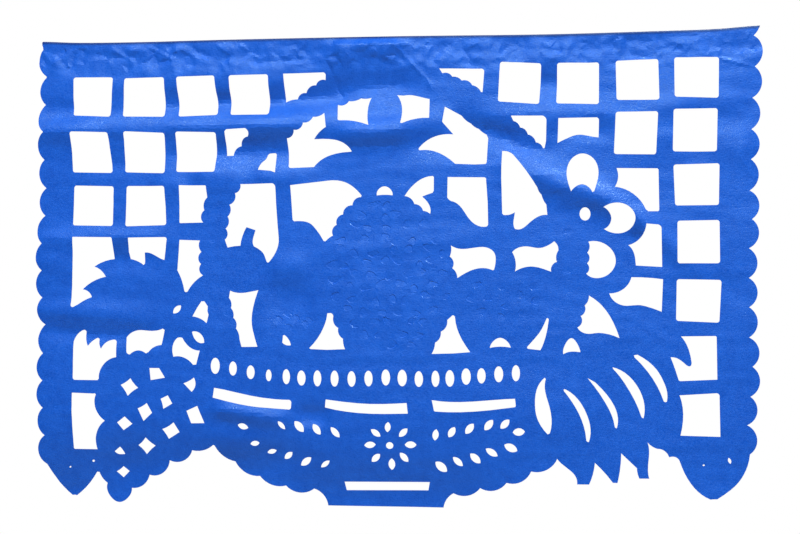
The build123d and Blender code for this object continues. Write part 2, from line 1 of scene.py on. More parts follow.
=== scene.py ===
# %% [markdown]
# A papel picado banner: one sheet of blue tissue paper, cut through with punches and chisels and
# folded over at the top round a string. The packed model gives the cut outline at its true size.
# This script turns it into paper: thin, folded, a little wavy and crumpled at the hem.

# %% Load the fixed frame
import math
import random

import bpy
import numpy as np
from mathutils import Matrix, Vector, geometry, kdtree, noise
from mathutils.bvhtree import BVHTree

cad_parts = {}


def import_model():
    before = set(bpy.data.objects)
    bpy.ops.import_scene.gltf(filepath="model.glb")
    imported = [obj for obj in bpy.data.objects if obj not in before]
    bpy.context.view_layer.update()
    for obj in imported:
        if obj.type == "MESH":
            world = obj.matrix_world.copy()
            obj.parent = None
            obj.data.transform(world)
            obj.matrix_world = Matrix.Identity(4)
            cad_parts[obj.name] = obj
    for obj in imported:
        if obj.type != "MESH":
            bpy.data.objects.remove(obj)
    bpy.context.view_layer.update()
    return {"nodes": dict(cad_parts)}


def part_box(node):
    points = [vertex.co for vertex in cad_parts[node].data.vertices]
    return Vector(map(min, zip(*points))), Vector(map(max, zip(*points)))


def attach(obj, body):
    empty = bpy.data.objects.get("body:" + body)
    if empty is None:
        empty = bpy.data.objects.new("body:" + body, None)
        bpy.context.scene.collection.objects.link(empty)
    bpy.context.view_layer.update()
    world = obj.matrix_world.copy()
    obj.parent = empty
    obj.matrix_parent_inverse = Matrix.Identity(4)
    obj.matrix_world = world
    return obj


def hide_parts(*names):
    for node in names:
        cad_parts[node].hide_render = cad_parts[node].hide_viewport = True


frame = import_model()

random.seed(7)
MM = 0.001
low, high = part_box("banner")
print("banner box, mm:", [round(c / MM, 1) for c in low], [round(c / MM, 1) for c in high])

# %% [markdown]
# Every size below is in millimetres, in the frame's own axes: x along the string channel, z up
# from the channel's middle. The cut pattern leans a little in that frame, because the sheet was
# folded out of square, so the waves and creases are placed in the pattern's own x and z.

# %% Sizes of the paper
PAPER = 0.1             # thickness of the tissue
CHANNEL_R = 1.05        # middle of the paper in the roll round the string
FOLD_DROP = 8.0         # the two layers meet this far below the roll
FLAP_BEHIND = 0.3       # the glued flap lies this far behind the front's middle plane
LEAN = math.radians(1.513)
PATTERN_X, PATTERN_Z = 1.81, -137.6


def to_pattern(x, z):
    """Frame x, z to the cut pattern's x, z."""
    dx, dz = x - PATTERN_X, z - PATTERN_Z
    return dx * math.cos(LEAN) + dz * math.sin(LEAN), dz * math.cos(LEAN) - dx * math.sin(LEAN)


def to_frame(x, z):
    """Cut pattern's x, z to frame x, z."""
    return (PATTERN_X + x * math.cos(LEAN) - z * math.sin(LEAN),
            PATTERN_Z + x * math.sin(LEAN) + z * math.cos(LEAN))


# %% [markdown]
# The outline. The real sheet was cut with chisels through a stack of paper; here its edges are
# read from the flat front of the packed solid. An edge that belongs to only one triangle of that
# flat face is a cut edge, and these edges chain into closed loops. The flap's loop is read in the
# same way from the plane behind. Tracing the outline a second time by hand would drift from it.

# %% Read the cut edges of a flat layer
FLATNESS = 0.02         # a corner this near to the plane counts as in it


def flat_layer(mesh, y):
    """Triangles of the flat face at depth y: corner points (x, z) in mm, and index triples."""
    index, points, triangles = {}, [], []
    for polygon in mesh.polygons:
        corners = [mesh.vertices[v].co / MM for v in polygon.vertices]
        if max(abs(c.y - y) for c in corners) > FLATNESS:
            continue
        names = []
        for c in corners:
            key = (round(c.x, 3), round(c.z, 3))
            if key not in index:
                index[key] = len(points)
                points.append(key)
            names.append(index[key])
        triangles.append(names)
    return points, triangles


def cut_edges(triangles):
    """Pairs of points that are joined by the edge of only one triangle."""
    seen = set()
    for corners in triangles:
        for a, b in zip(corners, corners[1:] + corners[:1]):
            seen.add((a, b))
    return [(a, b) for a, b in seen if (b, a) not in seen]


cad_mesh = frame["nodes"]["banner"].data
front_points, front_triangles = flat_layer(cad_mesh, -PAPER)
flap_points, flap_triangles = flat_layer(cad_mesh, PAPER)
front_edges, flap_edges = cut_edges(front_triangles), cut_edges(flap_triangles)
root_z = max(p[1] for p in front_points)        # the flat front ends here and the roll starts
flap_foot = min(p[1] for p in flap_points)
print("cut edges: front", len(front_edges), "flap", len(flap_edges), "foot of the roll, mm:", root_z)

# %% [markdown]
# The flat sheet. Before it is folded, the sheet is one plane: the front below, then the strip
# that goes round the string, then the flap. All three are laid out in that plane and meshed
# together, so the finished paper has no seam at its fold, as the real one has none. The
# height v runs up the sheet: on the front it is the frame's z. Paper hung over a string closes
# in a long drop shape, so the two layers leave the string on a tangent and meet lower down.

# %% The path of the paper through the fold
ROLL_STEPS = 24
fold_foot = root_z - FOLD_DROP
half_gap = math.acos(CHANNEL_R / -fold_foot)
turns = np.linspace(half_gap, 2 * math.pi - half_gap, ROLL_STEPS)
fold_y = np.concatenate([[-PAPER / 2], -CHANNEL_R * np.sin(turns), [FLAP_BEHIND - PAPER / 2]])
fold_z = np.concatenate([[fold_foot], -CHANNEL_R * np.cos(turns), [fold_foot]])
fold_run = np.concatenate([[0], np.cumsum(np.hypot(np.diff(fold_y), np.diff(fold_z)))])
fold_length = fold_run[-1] - 2 * FOLD_DROP
flap_start = root_z + fold_length
print("paper in the roll, mm:", round(fold_length, 2))


def folded(v):
    """Depth y and height z of a point that lies v up the flat sheet."""
    if v <= fold_foot:
        return -PAPER / 2, v
    if v >= flap_start + FOLD_DROP:
        return FLAP_BEHIND - PAPER / 2, root_z - (v - flap_start)
    along = v - fold_foot
    return float(np.interp(along, fold_run, fold_y)), float(np.interp(along, fold_run, fold_z))


# %% [markdown]
# The marks. Besides the holes, the cutter pressed a gouge into the fruit and the handle without
# taking the paper away, which leaves small oval dents. They stand in staggered rows on the
# pineapple and the pear, in rings on the apple and in one line along the handle. Each is a real
# dent here, with its own rings of points, because a bump texture would vanish from the side. A
# dent is listed by its middle, its half length and half width, its turn in degrees and its depth.

# %% Places of the dents, in the pattern
STRAY_X, STRAY_Z = 3.2, 2.4                 # the gouge strays this far from its row
ROW_LENGTH, ROW_WIDTH, ROW_DEPTH = (2.6, 4.2), (2.0, 2.9), (0.20, 0.42)
APPLE_X, APPLE_Z = 76, -30
APPLE_RINGS = ((8.0, 4), (16.5, 9))         # radius of each ring, and its number of dents
RING_WIDE, RING_HIGH = 1.25, 0.8            # the rings are wider than high, as the apple is
RING_LENGTH, RING_WIDTH, RING_DEPTH = (2.6, 3.6), (1.8, 2.4), (0.22, 0.42)
HANDLE_X, HANDLE_Z = 1.5, 2
HANDLE_REACH_X, HANDLE_REACH_Z = 116, 98    # half width and half height of the line of dents
HANDLE_DENTS = 17
HANDLE_FROM, HANDLE_SWEEP = -24, 228        # where that line starts and how far it goes, in degrees
HANDLE_LENGTH, HANDLE_WIDTH, HANDLE_DEPTH = 2.6, 1.8, (0.08, 0.14)


def staggered(x0, x1, z0, z1, pitch, row, inside):
    """Dents in staggered rows, kept where inside(x, z) is true."""
    found, z, odd = [], z1, 0
    while z > z0:
        x = x0 + odd * pitch / 2
        while x < x1:
            px = x + random.uniform(-STRAY_X, STRAY_X)
            pz = z + random.uniform(-STRAY_Z, STRAY_Z)
            if inside(px, pz):
                found.append((px, pz, random.uniform(*ROW_LENGTH), random.uniform(*ROW_WIDTH),
                              random.uniform(-25, 25), random.uniform(*ROW_DEPTH)))
            x += pitch
        z -= row
        odd = 1 - odd
    return found


def in_ellipse(cx, cz, rx, rz):
    """A test for points inside an ellipse round (cx, cz)."""
    return lambda x, z: ((x - cx) / rx) ** 2 + ((z - cz) / rz) ** 2 < 1


DENTS = staggered(-36, 44, -68, 38, 11.5, 7.6, in_ellipse(4.5, -14, 39, 49))
DENTS += staggered(-72, -42, -55, -36, 8.5, 6.0, in_ellipse(-62, -46, 16, 9))
for ring, count in APPLE_RINGS:
    for i in range(count):
        a = 2 * math.pi * i / count + ring
        DENTS.append((APPLE_X + RING_WIDE * ring * math.cos(a), APPLE_Z + RING_HIGH * ring * math.sin(a),
                      random.uniform(*RING_LENGTH), random.uniform(*RING_WIDTH),
                      random.uniform(-20, 20), random.uniform(*RING_DEPTH)))
for i in range(HANDLE_DENTS):
    a = math.radians(HANDLE_FROM + i * HANDLE_SWEEP / (HANDLE_DENTS - 1))
    DENTS.append((HANDLE_X + HANDLE_REACH_X * math.cos(a), HANDLE_Z + HANDLE_REACH_Z * math.sin(a),
                  HANDLE_LENGTH, HANDLE_WIDTH, random.uniform(-25, 25), random.uniform(*HANDLE_DEPTH)))
print("dents:", len(DENTS))

# %% [markdown]
# The mesh. Points go along every cut edge, round every dent and over the rest of the paper in a
# loose triangular grid, which is finer in the crumpled hem. A Delaunay triangulation joins them
# and keeps the cut edges. A regular grid with holes cut out of it would leave ragged edges. First
# come the edges: the front's, the flap's, and the two ends of the strip between them.

# %% Points along the cut edges
EDGE_STEP = 1.7         # spacing of the points along a cut edge
points, edges = [], []


def add_loop(corners, joined, place):
    """Add cut edges to the flat sheet, split into steps of about EDGE_STEP."""
    names = {}
    for a, b in joined:
        for end in (a, b):
            if end not in names:
                names[end] = len(points)
                points.append(place(*corners[end]))
        start, stop = points[names[a]], points[names[b]]
        steps = max(1, round(math.dist(start, stop) / EDGE_STEP))
        last = names[a]
        for s in range(1, steps):
            points.append((start[0] + (stop[0] - start[0]) * s / steps,
                           start[1] + (stop[1] - start[1]) * s / steps))
            edges.append((last, len(points) - 1))
            last = len(points) - 1
        edges.append((last, names[b]))


def flap_place(x, z):
    """Place on the flat sheet of a point of the flap, which is folded down behind the front."""
    return x, flap_start + root_z - z


add_loop(front_points, front_edges, lambda x, z: (x, z))
add_loop(flap_points, flap_edges, flap_place)
front_top = [p[0] for p in front_points if p[1] > root_z - 0.01]
roll_left, roll_right = min(front_top), max(front_top)
for x in (roll_left, roll_right):
    corners = [(x, root_z), (x, flap_start)]
    add_loop(corners, [(0, 1)], lambda px, pz: (px, pz))
near_edge = kdtree.KDTree(len(points))
for i, p in enumerate(points):
    near_edge.insert((p[0], p[1], 0), i)
near_edge.balance()
print("edge points:", len(points))

# %% [markdown]
# Each dent has one ring of points on its rim and one round its floor. A gouge pressed by hand
# leaves no true oval, so a few low lobes make the rim uneven, and the floor tips to one side. A
# dent that would run over a cut edge is left out, because there the paper was cut instead.

# %% Points round the dents
DENT_FLOOR = 0.84       # a dent is flat out to this share of its width, with a steep rim
DENT_CLEAR = 1.3        # it stays this many half lengths away from a cut edge
DENT_SEARCH = 6.5       # no dent reaches further than this from its middle
TIP_SPREAD = 9          # the way a floor tips turns this many times as far as the dent itself
RIM_POINTS, FLOOR_POINTS = 16, 14


def lobes(angle, turn):
    """Unevenness of a dent's rim: two and three low lobes, set by its turn as by a seed."""
    return 1 + 0.12 * math.cos(2 * angle + 90 * turn) + 0.12 * math.cos(3 * angle + 50 * turn)


dent_spots = []
for px, pz, rx, rz, turn, depth in DENTS:
    cx, cz = to_frame(px, pz)
    clear = near_edge.find((cx, cz, 0))[2]
    if clear > DENT_CLEAR * rx:
        dent_spots.append((cx, cz, rx, rz, math.radians(turn), depth))
        for share, count in ((1.0, RIM_POINTS), (DENT_FLOOR, FLOOR_POINTS)):
            for i in range(count):
                a = 2 * math.pi * (i + share) / count
                reach = share / lobes(a, math.radians(turn))
                u, w = reach * rx * math.cos(a), reach * rz * math.sin(a)
                c, s = math.cos(math.radians(turn)), math.sin(math.radians(turn))
                points.append((cx + u * c - w * s, cz + u * s + w * c))
        points.append((cx, cz))


def dent_reach(x, z, spot):
    """How far out a point lies from a dent's middle: 1 on its rim, less inside it."""
    cx, cz, rx, rz, turn, _ = spot
    dx, dz = x - cx, z - cz
    u = (dx * math.cos(turn) + dz * math.sin(turn)) / rx
    w = (dz * math.cos(turn) - dx * math.sin(turn)) / rz
    return math.hypot(u, w) * lobes(math.atan2(w, u), turn)


def dent_depth(x, z, spot):
    """Depth of a dent: its floor is a plane that tips, so that part of the rim fades out."""
    cx, cz, rx, _, turn, depth = spot
    share = (dent_reach(x, z, spot) - DENT_FLOOR) / (1 - DENT_FLOOR)
    tip = TIP_SPREAD * turn
    tipped = ((x - cx) * math.sin(tip) - (z - cz) * math.cos(tip)) / rx
    return depth * (0.5 + 0.6 * tipped) * max(0.0, min(1.0, 1 - share))


near_dent = kdtree.KDTree(max(1, len(dent_spots)))
for i, spot in enumerate(dent_spots):
    near_dent.insert((spot[0], spot[1], 0), i)
near_dent.balance()
print("dents clear of the cut edges:", len(dent_spots))

# %% [markdown]
# The grid fills what is left. Its points are shaken a little out of their rows, so that the facets
# of the finished paper show no pattern. The strip round the string has straight rows along it.

# %% Points over the rest of the sheet
GRID_FRONT = 2.45       # spacing on the front and the flap
GRID_HEM = 1.3          # spacing in the hem
HEM_DEPTH = 24.0        # how far down from the string the fine grid goes
GRID_SHAKE = 0.2        # a point strays by up to this share of the spacing
EDGE_CLEAR = 0.62       # and stays this share of an edge step away from a cut edge
DENT_MARGIN = 1.25      # and outside this many half widths of a dent
ROLL_ROWS = 12          # rows of points round the string, less one


def free_spot(x, v):
    """True where a grid point is clear of cut edges and dents."""
    if near_edge.find((x, v, 0))[2] < EDGE_CLEAR * EDGE_STEP:
        return False
    _, i, gap = near_dent.find((x, v, 0))
    return gap > DENT_SEARCH or dent_reach(x, v, dent_spots[i]) > DENT_MARGIN


def add_grid(v_from, v_to, step):
    """Fill the sheet between two heights with a jittered triangular grid."""
    v, odd = v_from, 0
    while v < v_to:
        x = low.x / MM + odd * step / 2
        while x < high.x / MM:
            spot = (x + random.uniform(-GRID_SHAKE, GRID_SHAKE) * step,
                    v + random.uniform(-GRID_SHAKE, GRID_SHAKE) * step)
            if free_spot(*spot):
                points.append(spot)
            x += step
        v += step * math.sqrt(3) / 2
        odd = 1 - odd


add_grid(low.z / MM, root_z - HEM_DEPTH, GRID_FRONT)
add_grid(root_z - HEM_DEPTH, root_z - 0.5, GRID_HEM)
add_grid(flap_start + 1.0, flap_start + HEM_DEPTH + 2, GRID_FRONT)
for row in range(1, ROLL_ROWS):
    v = root_z + fold_length * row / ROLL_ROWS
    points += [(x, v) for x in np.arange(roll_left + GRID_FRONT, roll_right - 1, GRID_FRONT)]
print("points on the flat sheet:", len(points))

# %% [markdown]
# The triangulation fills the whole hull of the sheet, holes too. A ray dropped on the packed
# model's own flat triangles tells which of the new triangles are paper.

# %% Triangles that are paper
flat_points, _, flat_faces, _, _, _ = geometry.delaunay_2d_cdt(
    [Vector(p) for p in points], edges, [], 0, 1e-4)


def paper_tree(corners, triangles, place):
    """The flat triangles of a layer, as a tree to drop rays on."""
    return BVHTree.FromPolygons([Vector((*place(*p), 0)) for p in corners], triangles)


front_tree = paper_tree(front_points, front_triangles, lambda x, z: (x, z))
flap_tree = paper_tree(flap_points, flap_triangles, flap_place)


def is_paper(x, v):
    """True where a point of the flat sheet is paper and no hole."""
    if root_z <= v <= flap_start:
        return roll_left < x < roll_right
    tree = front_tree if v < root_z else flap_tree
    return tree.ray_cast(Vector((x, v, 1)), Vector((0, 0, -1)), 2)[0] is not None


faces = []
for face in flat_faces:
    x = sum(flat_points[i].x for i in face) / 3
    v = sum(flat_points[i].y for i in face) / 3
    if is_paper(x, v):
        faces.append(face)
area = sum(geometry.area_tri(*[flat_points[i] for i in face]) for face in faces)
print("triangles:", len(faces), "flat area, m2:", round(area * MM * MM, 4))

# %% [markdown]
# The ripples. Tissue that has been packed flat keeps soft ripples across it, and they lie mostly
# level, as the sheet was folded in its pack. Each is a broad oval, pushed forward or back, in a
# given list. A cloth simulation would drape the sheet in ripples of its own choice.

# %% Ripples: middle, half length, half width, turn in degrees, height towards the viewer
RIPPLES = [
    # trough across the first row of windows, then the ridge under it
    (-96, 100, 66, 7.5, -1, -4.4), (-204, 99, 30, 6.5, 0, -1.6), (-48, 106, 22, 9, -8, -2.2),
    (104, 104, 13, 9, 0, -3.0), (-150, 84, 100, 6.5, -1, 2.1), (-218, 83, 26, 11, 0, 2.2),
    (-66, 84, 34, 8, 0, 2.0), (-6, 77, 24, 8.5, 0, 5.2), (26, 82, 20, 8, 0, 2.0),
    (100, 84, 40, 7, -1, 1.2), (150, 83, 40, 8, -1, 1.3), (200, 88, 26, 7, 0, 1.6),
    # trough across the second row, and the fold that runs down to the right past the flower
    (-96, 66, 50, 8, 0, -3.0), (-176, 62, 26, 7, 0, -1.4), (-68, 50, 18, 6, 0, 1.2),
    (48, 64, 26, 7, -8, -2.0), (72, 72, 30, 7.5, -20, -3.6), (112, 40, 36, 9, -20, 4.4),
    (148, 24, 24, 8, -30, 2.0), (128, 72, 16, 6, 0, -1.0), (176, 66, 13, 10, 0, 1.4),
    (218, 62, 15, 12, 0, 1.8), (174, 5, 36, 7, -40, 2.6), (204, -18, 30, 7, -40, -0.9),
    # hem, above the crown
    (-8, 106, 30, 9, 0, -3.2), (-10, 132, 28, 9, 0, 3.6),
    # left border, leaf and grapes
    (-190, 13, 44, 6.5, 0, 2.6), (-143, 46, 10, 9, 0, 1.4), (-108, 50, 16, 12, 0, 2.2),
    (-178, -3, 30, 7, 0, -1.4), (-218, -2, 18, 12, 0, 1.4), (-200, -36, 40, 7, -4, 1.9),
    (-192, -51, 50, 6, -3, -1.7), (-212, -168, 64, 32, 10, -9.0), (-216, -92, 24, 30, 0, 2.0),
    (-150, -136, 46, 20, 0, -3.4),
    # basket and fruit
    (-90, -103, 24, 6.5, -8, 4.0), (-94, -119, 24, 10, 0, 1.6), (-48, -105, 10, 7, 0, -2.6),
    (-20, -162, 95, 26, 0, -8.0), (-96, -138, 44, 15, 10, -3.0),
    (-64, -9, 13, 9, 0, 1.6), (-62, -31, 14, 12, 0, -1.8), (10, 4, 60, 6, 5, 0.7),
    (100, -90, 80, 40, 0, 1.0),
]


def ripple(x, z):
    """Height of all ripples at a pattern point, in mm."""
    height = 0.0
    for cx, cz, length, width, turn, top in RIPPLES:
        a = math.radians(turn)
        dx, dz = x - cx, z - cz
        u = (dx * math.cos(a) + dz * math.sin(a)) / length
        w = (dz * math.cos(a) - dx * math.sin(a)) / width
        if u * u + w * w < 9:
            height += top * math.exp(-u ** 4) * math.exp(-w * w)
    return height


print("ripples:", len(RIPPLES))

# %% [markdown]
# The crumple. The hem, where it was folded, glued and pulled along the string, is crumpled into
# small facets. They are a random pattern: heights at scattered points, joined by flat triangles,
# once in large facets and once in small ones. Smooth noise would look like cloth; the straight
# creases between facets are what says paper. The rest of the sheet has a few very low ones.

# %% Facets: heights at scattered points, joined by flat triangles
FACETS_FROM, FACETS_TO = -260, 265      # the pattern runs past both sides of the sheet
FACET_STRAY = 0.45                      # a corner strays by up to this share of the spacing


def facet_tree(step_x, step_z, rise, z_from, z_to):
    """A crumpled surface over the pattern, as a tree to drop rays on."""
    spots, z, odd = [], z_from, 0
    while z < z_to:
        x = FACETS_FROM + odd * step_x / 2
        while x < FACETS_TO:
            spots.append((x + random.uniform(-FACET_STRAY, FACET_STRAY) * step_x,
                          z + random.uniform(-FACET_STRAY, FACET_STRAY) * step_z))
            x += step_x
        z += step_z
        odd = 1 - odd
    flat, _, triangles, _, _, _ = geometry.delaunay_2d_cdt([Vector(s) for s in spots], [], [], 0, 1e-4)
    return BVHTree.FromPolygons([Vector((p.x, p.y, random.uniform(-rise, rise))) for p in flat],
                                triangles)


def facet_height(tree, x, z):
    """Height of a crumpled surface at a pattern point, in mm."""
    hit = tree.ray_cast(Vector((x, z, 50)), Vector((0, 0, -1)), 100)[0]
    return hit.z if hit else 0.0


hem_facets = facet_tree(13.0, 8.0, 1.0, 95, 165)
hem_crinkles = facet_tree(4.8, 3.4, 0.55, 95, 165)
sheet_facets = facet_tree(26.0, 15.0, 0.16, -190, 170)
middle_facets = [round(facet_height(tree, 0, 130), 2) for tree in (hem_facets, hem_crinkles)]
print("facets at the middle of the hem, mm:", middle_facets)

# %% [markdown]
# The creases. A few folds are long and sharp, where the sheet was pressed or pulled from a corner.
# Each is a straight ridge with two flat sides, or a valley where its height is below zero.

# %% Creases: x and z of both ends, height and half width
CREASES = [
    (4, 138, 36, 100, 0.55, 2.2), (-38, 127, -26, 98, -0.5, 2.4), (-160, 141, -139, 129, 0.5, 2.0),
    (-182, 138, -168, 130, 0.4, 2.0), (-136, 137, -122, 129, 0.45, 2.0), (-112, 139, -101, 131, 0.4, 1.8),
    (-228, 128, -206, 141, 0.5, 2.2), (209, 115.5, 232, 108.5, 0.5, 1.8), (222, 56, 231, 38, 0.35, 1.6),
    (155, -44, 180, -61, 0.3, 1.6), (156, 116.5, 174, 115.5, 0.3, 1.4), (-73, 99.5, -66, 99.5, 0.5, 1.4),
]
OVERRUN = 0.1           # a crease runs on past its ends by this share of its length
END_FADE = 0.25         # and rises to its full height over this share


def crease(x, z):
    """Height of all creases at a pattern point, in mm."""
    height = 0.0
    for x0, z0, x1, z1, top, width in CREASES:
        dx, dz = x1 - x0, z1 - z0
        along = ((x - x0) * dx + (z - z0) * dz) / (dx * dx + dz * dz)
        if -OVERRUN < along < 1 + OVERRUN:
            off = abs((z - z0) * dx - (x - x0) * dz) / math.hypot(dx, dz)
            if off < width:
                ends = max(0.0, min(1.0, (OVERRUN + min(along, 1 - along)) / END_FADE))
                height += top * ends * (1 - off / width)
    return height


print("creases:", len(CREASES))

# %% [markdown]
# All heights are added up here. The crumple fades out below the flap, and near the string all
# relief fades out, because there the paper is stretched over it. The sheet also leans: its hem
# stands forward at the foot and goes back up to the string, and the rest hangs back a little.

# %% Relief of the whole sheet
HEM_FADE = (-26, -13)       # the crumple of the hem starts and is full at these heights
STRING_FADE = (1.5, -5)     # relief starts and is full at these heights
HEM_LEAN = 0.07             # the hem leans back by this slope, up to the string
HEM_LEAN_SPREAD = 700       # and by a little more at the left than at the right
BODY_LEAN = 0.008           # the rest of the sheet hangs back by this slope


def smooth(low_end, high_end, value):
    """0 at the first end, 1 at the second, with a soft start and stop."""
    t = max(0.0, min(1.0, (value - low_end) / (high_end - low_end)))
    return t * t * (3 - 2 * t)


def wave(x, z, length, width, layer):
    """Smooth noise between about -1 and 1, with bumps of this length and width."""
    return noise.noise(Vector((x / length, z / width, layer)))


def relief(x, z):
    """Height towards the viewer of a point at frame x, z, in mm."""
    px, pz = to_pattern(x, z)
    height = ripple(px, pz) + crease(px, pz) + facet_height(sheet_facets, px, pz)
    height += wave(px, pz, 24, 5, 3.1) * 0.3 + wave(px, pz, 60, 35, 8.4) * 0.9
    crumple = facet_height(hem_facets, px, pz) + facet_height(hem_crinkles, px, pz)
    height += crumple * smooth(*HEM_FADE, z)
    height += HEM_LEAN * (1 - px / HEM_LEAN_SPREAD) * min(HEM_DEPTH, -z)
    height -= BODY_LEAN * max(0.0, -z - HEM_DEPTH)
    _, i, gap = near_dent.find((x, z, 0))
    if gap < DENT_SEARCH:
        height -= dent_depth(x, z, dent_spots[i])
    return height * smooth(*STRING_FADE, z)


print("relief at the middle of the sheet, mm:", round(relief(0, -150), 2))

# %% [markdown]
# The fold. Each point of the flat sheet is carried round the string and moved by its relief. The
# top edge isn't quite straight: it sags a little between its ends, where the string pulled it up.
# At the right the roll was trimmed on a slant, down to the first lobe of the edge, and the flap's
# end stays out of sight behind that lobe.

# %% Fold and shape the sheet
TOP_BUMPS = [(-236, 20, 1.3), (238, 20, 1.7), (-165, 40, -0.4), (110, 75, -1.0)]
SAG_FROM = -30          # the sag fades out down to this height
NECK = 0.6              # full width of the roll ends this far below its foot
ROLL_SLANT = 1.2        # the roll's right end slants in by this much
FLAP_SLANT = 3.4        # the flap's right end stays this far in
FLAP_TAPER = 20         # over this length the flap is drawn in


def top_sag(x):
    """How far the top edge lies above or below a straight line: bumps of middle, half length, height."""
    return sum(top * math.exp(-((x - middle) / length) ** 2) for middle, length, top in TOP_BUMPS)


def end_slant(x, v, z):
    """How far a point near the right end of the roll or the flap moves in, in mm."""
    down = smooth(CHANNEL_R, root_z - NECK, z)
    if v > root_z + fold_length / 2:
        return FLAP_SLANT * down * max(0.0, 1 - (roll_right - x) / FLAP_TAPER)
    if v > root_z - 1.1 * NECK:
        taper = 1.1 * ROLL_SLANT    # a little over the slant, so that no points fall together
        return ROLL_SLANT * down * max(0.0, 1 - (roll_right - x) / taper)
    return 0.0


shaped = []
for p in flat_points:
    y, z = folded(p.y)
    x = p.x - end_slant(p.x, p.y, z)
    lift = relief(x, z)
    z += top_sag(to_pattern(x, z)[0]) * smooth(SAG_FROM, 0, z)
    shaped.append((x * MM, (y - lift) * MM, z * MM))
depths = [round(s[1] / MM, 2) for s in shaped]
print("depth of the shaped sheet, mm:", min(depths), "to", max(depths))

# %% [markdown]
# Thickness. Tissue is thinner than a tenth of a millimetre, but a real sheet has two sides and an
# edge, so a Solidify modifier gives it the packed model's thickness and is applied, which leaves a
# closed mesh. The edges between facets are set sharp, or smooth shading would round the paper off.
# The crest of the fold gets a mark of its own, because the real one shows a thin dark line there; that
# mark is painted shade, for the top of the fold turned away from the light.

# %% Build the sheet
SHARP_ANGLE = math.radians(10)
CREST_SHADE_FADE = (-0.9, 0.1)    # the painted shade on the crest starts and is full at these heights above the channel's middle


def build_sheet():
    """The folded sheet as one object, with its thickness and a mask of painted shade on its crest."""
    used = sorted({i for face in faces for i in face})
    rename = {old: new for new, old in enumerate(used)}
    mesh = bpy.data.meshes.new("banner_sheet")
    mesh.from_pydata([shaped[i] for i in used], [], [[rename[i] for i in f] for f in faces])
    mesh.validate()
    sheet = bpy.data.objects.new("banner_sheet", mesh)
    bpy.context.scene.collection.objects.link(sheet)
    if sum(p.normal.y for p in mesh.polygons) > 0:
        mesh.flip_normals()
    thick = sheet.modifiers.new("thickness", "SOLIDIFY")
    thick.thickness = PAPER * MM
    thick.offset = 0
    thick.use_even_offset = False
    solid = bpy.data.meshes.new_from_object(sheet.evaluated_get(bpy.context.evaluated_depsgraph_get()))
    sheet.modifiers.clear()
    sheet.data = solid
    solid.polygons.foreach_set("use_smooth", [True] * len(solid.polygons))
    solid.set_sharp_from_angle(angle=SHARP_ANGLE)
    # a mask of painted shade: 1 along the crest of the fold, 0 below it
    crest = solid.attributes.new("crest", "FLOAT", "POINT")
    for vertex, mark in zip(solid.vertices, crest.data):
        x, z = vertex.co.x / MM, vertex.co.z / MM
        mark.value = smooth(*CREST_SHADE_FADE, z - top_sag(to_pattern(x, z)[0]))
    return sheet


sheet = build_sheet()
print("triangles in the finished sheet:", sum(len(p.vertices) - 2 for p in sheet.data.polygons))

# %% [markdown]
# Shader maths reads best as arithmetic, so one small class wraps a socket: sums and products of
# wires add the Math nodes, and node() adds any other kind.

# %% A socket that can be added and multiplied
class Wire:
    """An output socket of a node tree, or with no socket just the place where nodes are added."""

    def __init__(self, tree, socket=None):
        self.tree, self.socket = tree, socket

    def node(self, kind, settings=None, inputs=None, output=0):
        """Add a node: its settings first, then the values or wires of its inputs."""
        made = self.tree.nodes.new(kind)
        for name, value in (settings or {}).items():
            if name == "stops":
                for element, (place, colour) in zip(self._elements(made, len(value)), value):
                    element.position, element.color = place, colour
            else:
                setattr(made, name, value)
        for name, value in (inputs or {}).items():
            if isinstance(value, Wire):
                self.tree.links.new(value.socket, made.inputs[name])
            else:
                made.inputs[name].default_value = value
        return Wire(self.tree, made.outputs[output] if made.outputs else None)

    def _elements(self, ramp, count):
        """The stops of a colour ramp, with new ones added until there are enough."""
        while len(ramp.color_ramp.elements) < count:
            ramp.color_ramp.elements.new(0.5)
        return ramp.color_ramp.elements

    def _math(self, operation, a, b):
        """A Math node on two wires or numbers."""
        return self.node("ShaderNodeMath", {"operation": operation}, {0: a, 1: b})

    def __add__(self, other):
        return self._math("ADD", self, other)

    def __radd__(self, other):
        return self._math("ADD", other, self)

    def __sub__(self, other):
        return self._math("SUBTRACT", self, other)

    def __rsub__(self, other):
        return self._math("SUBTRACT", other, self)

    def __mul__(self, other):
        return self._math("MULTIPLY", self, other)

    def __rmul__(self, other):
        return self._math("MULTIPLY", other, self)


def new_tree(owner):
    """Empty node tree of a material or a world, as a wire that nodes can be added to."""
    owner.use_nodes = True
    owner.node_tree.nodes.clear()
    return Wire(owner.node_tree)


print("operators of a wire:", [name for name in vars(Wire) if name.endswith(("add__", "sub__", "mul__"))])

# %% [markdown]
# The paper's finish. Dyed tissue is a deep, slightly uneven blue. Its fibres lie in soft clouds,
# and it is pressed smooth, so where the sheet tips up to the light it glints in fine specks. The
# colour wanders a little between two tones of the dye, the roughness wanders with the specks, and
# a fine bump breaks up the shine. Waves and creases are in the mesh, so they also show from the
# side. A plain blue with one roughness would look like plastic film.

# %% Tissue paper material
DYE_DEEP = (0.005, 0.072, 0.46, 1)
DYE_LIGHT = (0.010, 0.108, 0.60, 1)
# painted shade: the dark navy of the thin line along the crest of the fold, standing in for the shade
# there
PAINTED_CREST_SHADE = (0.006, 0.026, 0.17, 1)
SHEEN_TINT = (0.5, 0.85, 1.0, 1)
GRAIN = 0.00045         # height of the fibres, in metres


